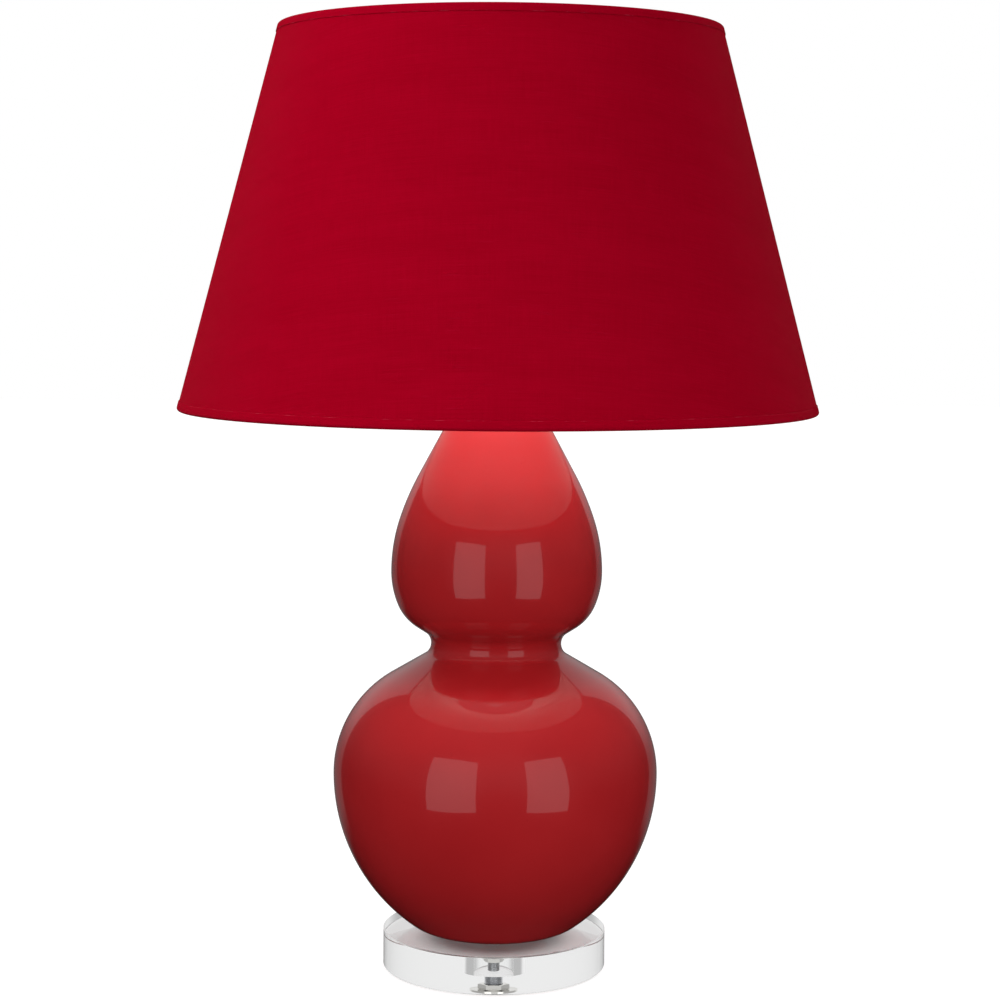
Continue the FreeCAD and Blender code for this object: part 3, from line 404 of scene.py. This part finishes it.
# ---------------------------------------------------------------- acrylic disc
def make_disc():
    round_edge = DISC_BEVEL / 6
    outline = Profile(COUNTERBORE_R, DISC_LOW)
    outline.to(DISC_R - DISC_BEVEL - round_edge, DISC_LOW).to(DISC_R - DISC_BEVEL, DISC_LOW + round_edge / 3)
    outline.to(DISC_R - round_edge / 3, DISC_LOW + DISC_BEVEL).to(DISC_R, DISC_LOW + DISC_BEVEL + round_edge)
    outline.to(DISC_R, DISC_TOP - DISC_BEVEL - round_edge).to(DISC_R - round_edge / 3, DISC_TOP - DISC_BEVEL)
    outline.to(DISC_R - DISC_BEVEL, DISC_TOP - round_edge / 3).to(DISC_R - DISC_BEVEL - round_edge, DISC_TOP)
    outline.to(PIPE_HOLE_R, DISC_TOP).to(PIPE_HOLE_R, COUNTERBORE_TOP).to(COUNTERBORE_R, COUNTERBORE_TOP)
    piece = lathe("acrylic_disc", outline.points, 360)
    finish_mesh(piece, "lamp", materials["clear_acrylic"], 18.0)
    # mirrored in the glaze, the disc would draw a white band at the gourd's foot
    piece.visible_glossy = False
    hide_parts("acrylic_base")


# ---------------------------------------------------------------- gourd
def foot_r():
    """Radius of the ring that the gourd stands on, where the foot's arc is level."""
    return BELLY_R - BELLY_UNDER_R + (BELLY_UNDER_R - FOOT_ARC_R) * cos(BELLY_UNDER_TURN)


def gourd_side(inset, step):
    """The gourd's side from its foot to its mouth, or the line that lies inset inside it."""
    side = Profile(foot_r(), FOOT_Z + inset)
    side.arc(FOOT_ARC_R - inset, 90 - BELLY_UNDER_TURN, step)
    side.arc(BELLY_UNDER_R - inset, BELLY_UNDER_TURN, step)
    side.arc(SHOULDER_R - inset, SHOULDER_TURN, step)
    flank_end_r = WAIST_R - inset + (WAIST_FILLET + inset) * (1 - cos(SHOULDER_TURN))
    side.line((side.r - flank_end_r) / sin(SHOULDER_TURN))
    side.arc(WAIST_FILLET + inset, -SHOULDER_TURN - UPPER_TURN, 2 * step)
    side.line(UPPER_FLANK)
    side_end_r = BULB_R - BULB_SIDE_R * (1 - cos(BULB_SIDE_TURN))
    curve_start_r = WAIST_R + WAIST_FILLET * (1 - cos(UPPER_TURN)) + UPPER_FLANK * sin(UPPER_TURN)
    curve_r = (side_end_r - curve_start_r) / (cos(BULB_SIDE_TURN) - cos(UPPER_TURN))
    side.arc(curve_r - inset, UPPER_TURN - BULB_SIDE_TURN, step)
    side.arc(BULB_SIDE_R - inset, BULB_SIDE_TURN, step)
    side.arc(CROWN_LOW_R - inset, CROWN_LOW_TURN, step)
    side.arc(CROWN_HIGH_R - inset, CROWN_TURN - CROWN_LOW_TURN, step / 2)
    neck_start_r = NECK_R - inset + (NECK_FILLET + inset) * (1 - cos(CROWN_TURN))
    side.line((side.r - neck_start_r) / sin(CROWN_TURN))
    side.arc(NECK_FILLET + inset, -CROWN_TURN, 2 * step)
    side.line(NECK_H)
    return side


def make_gourd():
    """The hollow glazed body, with the lead's hole cut at the back."""
    outer = gourd_side(0, ARC_STEP)
    lip = 0.0012
    outline = outer.points[:-1]
    outline += [(NECK_R, outer.z - lip), (NECK_R - lip / 3, outer.z - lip / 3), (NECK_R - lip, outer.z)]
    outline += [(NECK_R - WALL, outer.z)]
    outline += list(reversed(gourd_side(WALL, 4 * ARC_STEP).points))
    outline += [(PIPE_HOLE_R, FOOT_Z + WALL), (PIPE_HOLE_R, FOOT_Z + FOOT_RECESS)]
    outline += [(foot_r() - FOOT_LAND - FOOT_RECESS, FOOT_Z + FOOT_RECESS), (foot_r() - FOOT_LAND, FOOT_Z)]
    piece = lathe("gourd_glazed", outline, 288)

    belly_z = FOOT_Z + FOOT_ARC_R + (BELLY_UNDER_R - FOOT_ARC_R) * sin(BELLY_UNDER_TURN)
    outward = Vector((0, cos(LEAD_HOLE_ANGLE), -sin(LEAD_HOLE_ANGLE)))
    point = Vector((0, BELLY_R - BELLY_UNDER_R, belly_z)) + outward * BELLY_UNDER_R
    work = bmesh.new()
    bmesh.ops.create_cone(work, cap_ends=True, segments=64, radius1=LEAD_HOLE_R, radius2=LEAD_HOLE_R,
                          depth=4 * WALL)
    drill_mesh = bpy.data.meshes.new("drill")
    work.to_mesh(drill_mesh)
    work.free()
    drill = bpy.data.objects.new("drill", drill_mesh)
    bpy.context.scene.collection.objects.link(drill)
    drill.rotation_mode = "QUATERNION"
    drill.rotation_quaternion = outward.to_track_quat("Z", "Y")
    drill.location = point
    bore = piece.modifiers.new("bore", "BOOLEAN")
    bore.operation = "DIFFERENCE"
    bore.solver = "EXACT"
    bore.object = drill
    bpy.context.view_layer.update()
    graph = bpy.context.evaluated_depsgraph_get()
    drilled = bpy.data.meshes.new_from_object(piece.evaluated_get(graph))
    piece.modifiers.clear()
    piece.data = drilled
    bpy.data.objects.remove(drill)
    finish_mesh(piece, "lamp", glaze)
    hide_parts("gourd_body")


# ---------------------------------------------------------------- shade
SLOPE_L = math.hypot(SHADE_BOTTOM_R - SHADE_TOP_R, SHADE_H)
LEAN = (SHADE_TOP_R - SHADE_BOTTOM_R) / SLOPE_L
RISE = SHADE_H / SLOPE_L
CONE = -LEAN             # turns on the flat cloth are this share of turns on the shade


def wall_point(along, depth):
    """A point of the shade's wall, by its way up the slope and its depth inside the outer face."""
    return SHADE_BOTTOM_R + along * LEAN - depth * RISE, SHADE_LOW + along * RISE + depth * LEAN


def on_cloth(turn, r):
    """Where a point of the shade lies on the flat cloth that it was rolled from."""
    way = r / CONE
    return way * sin(turn * CONE), -way * cos(turn * CONE)


def wall_band(name, low, high, near, far, rows):
    """One skin of the shade as a thin closed band with rows of points up its slope."""
    steps = [low + (high - low) * k / rows for k in range(rows + 1)]
    outline = [wall_point(along, near) for along in steps]
    outline += [wall_point(along, far) for along in reversed(steps)]
    return lathe(name, outline, 288, lambda turn, index: on_cloth(turn, outline[index][0]))


def make_hem(name, edge, inward, replaced, material):
    """The strip of cloth that is folded over the wire at one edge of the shade."""
    centre = RING_WIRE_R + TRIM_T
    steps = 10

    def fold(radius):
        turns = [180 * k / steps for k in range(steps + 1)]
        return [(centre - radius * sin(turn), centre - radius * cos(turn)) for turn in turns]

    skins = FABRIC_T + LINER_T
    past = centre + RING_WIRE_R
    outside = [(TRIM_W, TRIM_T * 0.55), (TRIM_W - 0.0002, TRIM_T * 0.1), (TRIM_W - 0.0006, 0), (past, 0)]
    outside += fold(centre) + [(past, 2 * centre), (TRIM_W, skins + 2 * TRIM_T)]
    clear_r = RING_WIRE_R + 0.00008
    inside = [(TRIM_W, TRIM_T)] + fold(clear_r) + [(past, centre + clear_r), (TRIM_W, skins + TRIM_T)]
    ways = outside + list(reversed(inside))
    outline = [wall_point(edge + inward * along, depth) for along, depth in ways]
    lengths = [0.0]
    for k in range(1, len(ways)):
        lengths.append(lengths[-1] + math.dist(ways[k - 1], ways[k]))
    mean_r = wall_point(edge, 0)[0]
    piece = lathe(name, outline, 360, lambda turn, index: (mean_r * math.radians(turn), lengths[index]))
    finish_mesh(piece, "shade", material, 50.0)
    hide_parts(replaced)
    return piece


def make_seam():
    """The lap where the shade's cloth closes at the back, a strip a little proud of the rest."""
    width = 0.011
    proud = 0.00035
    rows = 24
    columns = 8
    low = TRIM_W - 0.0005
    high = SLOPE_L - TRIM_W + 0.0005
    verts = []
    corner_ways = []
    for side in (0, 1):
        for i in range(rows + 1):
            along = low + (high - low) * i / rows
            for k in range(columns + 1):
                share = k / columns - 0.5
                rounded = proud * (1 - abs(2 * share) ** 8)
                r, z = wall_point(along, TRIM_T - (rounded if side == 0 else -0.0001))
                turn = math.degrees(width * share / r)
                verts.append((r * cos(90 + turn), r * sin(90 + turn), z))
                corner_ways.append(on_cloth(180 + turn, r))
    row = columns + 1
    layer = (rows + 1) * row
    faces = []
    for i in range(rows):
        for k in range(columns):
            a = i * row + k
            faces.append((a, a + 1, a + row + 1, a + row))
            faces.append((layer + a, layer + a + row, layer + a + row + 1, layer + a + 1))
        for a, b in ((i * row, i * row + row), (i * row + columns, i * row + columns + row)):
            faces.append((a, b, layer + b, layer + a))
    for k in range(columns):
        for a in (k, rows * row + k):
            faces.append((a, a + 1, layer + a + 1, layer + a))
    uvs = [corner_ways[index] for face in faces for index in face]
    piece = new_piece("shade_seam", verts, faces, uvs)
    face_outwards(piece)
    finish_mesh(piece, "shade", cloth, 50.0)
    return piece


def make_shade():
    """Cloth, lining, both hems and the seam, with the flat shape that the cloth is cut to."""
    lap = 2 * RING_WIRE_R + TRIM_T
    fabric_far = TRIM_T + FABRIC_T
    fabric = wall_band("shade_cloth", lap, SLOPE_L - lap, TRIM_T, fabric_far, 24)
    finish_mesh(fabric, "shade", cloth)
    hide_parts("shade_fabric")
    liner = wall_band("shade_lining", lap, SLOPE_L - lap, fabric_far, fabric_far + LINER_T, 12)
    finish_mesh(liner, "shade", materials["white_styrene"])
    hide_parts("shade_liner")
    edged = cloth_material("hem_cloth", painted_edge_highlight=True)
    hems = [
        make_hem("hem_low", 0, 1, "shade_bottom_hem", edged),
        make_hem("hem_high", SLOPE_L, -1, "shade_top_hem", edged),
    ]
    seam = make_seam()


make_disc()
make_gourd()
make_shade()


# ---------------------------------------------------------------- studio
MATT_LEVEL = 0.80        # the even light on everything that isn't glossy
GLOSS_ROOM = (0.004, 0.03)         # what gloss mirrors of the studio, low down and higher up
GLOSS_WALL = (0.11, 0.38)          # the pale wall behind the lamp, low down and higher up
GLOSS_WALL_FROM = 139.0            # degrees round from the front where that wall begins
GLOSS_CEILING = 0.23
CLEAR_SIDES = 0.50                 # what clear plastic shows of the studio
CLEAR_BACK = 0.87
CLEAR_FRONT = 0.28                 # added to the sides' level in front


def studio_world():
    """Even light for matt surfaces, a dark studio with a pale wall behind the lamp for gloss, and a bright
    one for what shows through clear plastic."""
    world = bpy.data.worlds.new("studio")
    bpy.context.scene.world = world
    world.use_nodes = True
    tree = world.node_tree
    tree.nodes.clear()

    def add(kind, settings=None, inputs=()):
        node = tree.nodes.new(kind)
        for key, value in (settings or {}).items():
            setattr(node, key, value)
        for index, value in inputs:
            if isinstance(value, bpy.types.NodeSocket):
                tree.links.new(value, node.inputs[index])
            else:
                node.inputs[index].default_value = value
        return node

    def calc(operation, a, b=0.0):
        return add("ShaderNodeMath", {"operation": operation}, [(0, a), (1, b)]).outputs[0]

    def span(value, low, high, to_low=0.0, to_high=1.0):
        inputs = [(0, value), (1, low), (2, high), (3, to_low), (4, to_high)]
        return add("ShaderNodeMapRange", {"interpolation_type": "SMOOTHSTEP"}, inputs).outputs[0]

    def choose(factor, a, b):
        return add("ShaderNodeMix", {"data_type": "FLOAT"}, [(0, factor), (2, a), (3, b)]).outputs[0]

    way = add("ShaderNodeTexCoord").outputs["Generated"]
    x, y, z = add("ShaderNodeSeparateXYZ", None, [(0, way)]).outputs
    azimuth = calc("MULTIPLY", calc("ARCTAN2", x, calc("MULTIPLY", y, -1.0)), 180 / math.pi)
    rise = calc("MULTIPLY", calc("ARCSINE", z), 180 / math.pi)

    round_from_front = calc("ABSOLUTE", azimuth)
    behind = span(round_from_front, GLOSS_WALL_FROM, GLOSS_WALL_FROM + 1.5)
    wall = calc("MULTIPLY", span(rise, -24, -16), span(rise, -6, 14, *GLOSS_WALL))
    gloss = calc("ADD", calc("MULTIPLY", behind, wall), span(rise, -8, 12, *GLOSS_ROOM))
    gloss = calc("ADD", gloss, span(rise, 35, 80, 0.0, GLOSS_CEILING))
    clear = span(round_from_front, 120, 152, CLEAR_SIDES, CLEAR_BACK)
    clear = calc("ADD", clear, span(round_from_front, 60, 30, 0.0, CLEAR_FRONT))

    path = add("ShaderNodeLightPath").outputs
    inside = calc("MINIMUM", path["Transmission Depth"], 1.0)
    level = choose(path["Is Glossy Ray"], MATT_LEVEL, choose(inside, gloss, clear))
    level = choose(path["Is Transmission Ray"], level, clear)
    level = choose(path["Is Camera Ray"], level, 1.0)
    background = add("ShaderNodeBackground", None, [(0, (1.0, 1.0, 1.0, 1.0)), (1, level)])
    add("ShaderNodeOutputWorld", None, [(0, background.outputs[0])])


FLOOR_HALF = 8.0
FLOOR_TONE = 0.36        # the floor's own colour
LIFT_SEEN = 0.84         # glow that makes it read white
LIFT_THROUGH = 0.70      # the same for what shows through the disc
LIFT_UNDER = 0.08        # and in the shadow under the gourd, between the next two radii
SHADOW_FROM_R = 0.022
SHADOW_TO_R = 0.036


def studio_floor():
    """A plain pale table top that keeps the lamp's shadow and reads white elsewhere."""
    corners = [(x * FLOOR_HALF, y * FLOOR_HALF, 0) for x, y in ((-1, -1), (1, -1), (1, 1), (-1, 1))]
    floor = new_piece("floor", corners, [(0, 1, 2, 3)])
    floor.visible_glossy = False
    material = bpy.data.materials.new("floor")
    material.use_nodes = True
    tree = material.node_tree
    bsdf = tree.nodes["Principled BSDF"]
    bsdf.inputs["Base Color"].default_value = (FLOOR_TONE, FLOOR_TONE, FLOOR_TONE, 1.0)
    bsdf.inputs["Roughness"].default_value = 1.0
    bsdf.inputs["Specular IOR Level"].default_value = 0.0
    path = tree.nodes.new("ShaderNodeLightPath")

    def calc(operation, a, b):
        node = tree.nodes.new("ShaderNodeMath")
        node.operation = operation
        for index, value in enumerate((a, b)):
            if isinstance(value, bpy.types.NodeSocket):
                tree.links.new(value, node.inputs[index])
            else:
                node.inputs[index].default_value = value
        return node.outputs[0]

    place = tree.nodes.new("ShaderNodeTexCoord").outputs["Object"]
    length = tree.nodes.new("ShaderNodeVectorMath")
    length.operation = "LENGTH"
    tree.links.new(place, length.inputs[0])
    r = length.outputs["Value"]

    def span(low, high, to_low, to_high):
        node = tree.nodes.new("ShaderNodeMapRange")
        node.interpolation_type = "SMOOTHSTEP"
        tree.links.new(r, node.inputs[0])
        for index, value in enumerate((low, high, to_low, to_high)):
            node.inputs[index + 1].default_value = value
        return node.outputs[0]

    middle = span(SHADOW_FROM_R - 0.005, SHADOW_FROM_R, LIFT_THROUGH, 0.0)
    under = calc("MAXIMUM", middle, span(SHADOW_TO_R, 0.070, LIFT_UNDER, LIFT_THROUGH))
    seen = calc("MULTIPLY", path.outputs["Is Camera Ray"], LIFT_SEEN)
    through = calc("MULTIPLY", path.outputs["Is Transmission Ray"], under)
    bsdf.inputs["Emission Color"].default_value = (1.0, 1.0, 1.0, 1.0)
    tree.links.new(calc("ADD", seen, through), bsdf.inputs["Emission Strength"])
    floor.data.materials.append(material)


def light_only(lamp, names):
    """Keeps a light to the named pieces."""
    lit = bpy.data.collections.new(lamp.name + "_lit")
    for name in names:
        lit.objects.link(bpy.data.objects[name])
    lamp.light_linking.receiver_collection = lit


def area_light(name, place, aim, size, power, only=(), in_gloss=False):
    """A soft light of size (width, height) that faces aim, for all the scene or only for some pieces."""
    light = bpy.data.lights.new(name, "AREA")
    light.shape = "RECTANGLE"
    light.size = size[0]
    light.size_y = size[1]
    light.energy = power
    lamp = bpy.data.objects.new(name, light)
    lamp.location = place
    lamp.rotation_mode = "QUATERNION"
    lamp.rotation_quaternion = (Vector(place) - Vector(aim)).to_track_quat("Z", "Y")
    lamp.visible_camera = False
    lamp.visible_glossy = in_gloss
    lamp.visible_transmission = False
    bpy.context.scene.collection.objects.link(lamp)
    if only:
        light_only(lamp, only)


WINDOW_AWAY = 0.80
WINDOW_LOW = -0.06
WINDOW_HIGH = 0.59
WINDOW_LEVEL = 0.82


def window_panel(name, turn, spread):
    """One of the two upright panels in front of the lamp that the glaze mirrors as windows."""
    width = 2 * WINDOW_AWAY * math.tan(math.radians(spread / 2))
    height = WINDOW_HIGH - WINDOW_LOW
    place = (WINDOW_AWAY * sin(turn), -WINDOW_AWAY * cos(turn), (WINDOW_LOW + WINDOW_HIGH) / 2)
    power = WINDOW_LEVEL * math.pi * width * height
    area_light(name, place, (0, 0, place[2]), (width, height), power, in_gloss=True)


def point_light(name, place, size, power, only):
    """A small warm light inside the shade, which only some pieces take."""
    light = bpy.data.lights.new(name, "POINT")
    light.shadow_soft_size = size
    light.energy = power
    light.color = (1.0, 0.95, 0.90)
    lamp = bpy.data.objects.new(name, light)
    lamp.location = place
    lamp.visible_glossy = False
    lamp.visible_transmission = False
    lamp.visible_camera = False
    bpy.context.scene.collection.objects.link(lamp)
    light_only(lamp, only)


studio_world()
studio_floor()
window_panel("window_left", -28.5, 33)
window_panel("window_right", 34.5, 28)
shade_pieces = ("shade_cloth", "hem_low", "hem_high", "shade_seam")
side_place = (1.05 * sin(-62), -1.05 * cos(-62), 1.45)
area_light("shade_side", side_place, (0, 0, 0.62), (0.6, 0.6), 11.0, only=shade_pieces)
area_light("front", (0.3, -2.4, 1.2), (0, 0, 0.30), (1.6, 1.6), 10.0)
area_light("crown", (0, 0, 0.57), (0, 0, 0.40), (0.20, 0.20), 1.75, only=["gourd_glazed"])
for name, side in (("inner_left", -1), ("inner_right", 1)):
    point_light(name, (side * 0.046, 0, 0.69), 0.02, 0.42, ["shade_lining"])

# ---------------------------------------------------------------- camera
CAMERA_AWAY = 1.845
CAMERA_H = 0.5475
CAMERA_TILT = 2.60       # degrees below level
CAMERA_ROLL = 0.43       # degrees, as the photographed lamp leans
CAMERA_LENS = 84.73      # millimetres on a sensor 36 mm wide
camera = bpy.data.objects.new("camera", bpy.data.cameras.new("camera"))
camera.data.sensor_width = 36.0
camera.data.lens = CAMERA_LENS
camera.data.shift_x = 0.0019
camera.data.shift_y = -0.12
camera.data.clip_end = 50.0
camera.location = (0, -CAMERA_AWAY, CAMERA_H)
camera.rotation_mode = "ZYX"
camera.rotation_euler = (math.radians(90 - CAMERA_TILT), 0, math.radians(CAMERA_ROLL))
bpy.context.scene.collection.objects.link(camera)
bpy.context.scene.camera = camera
bpy.context.scene.view_settings.view_transform = "Standard"
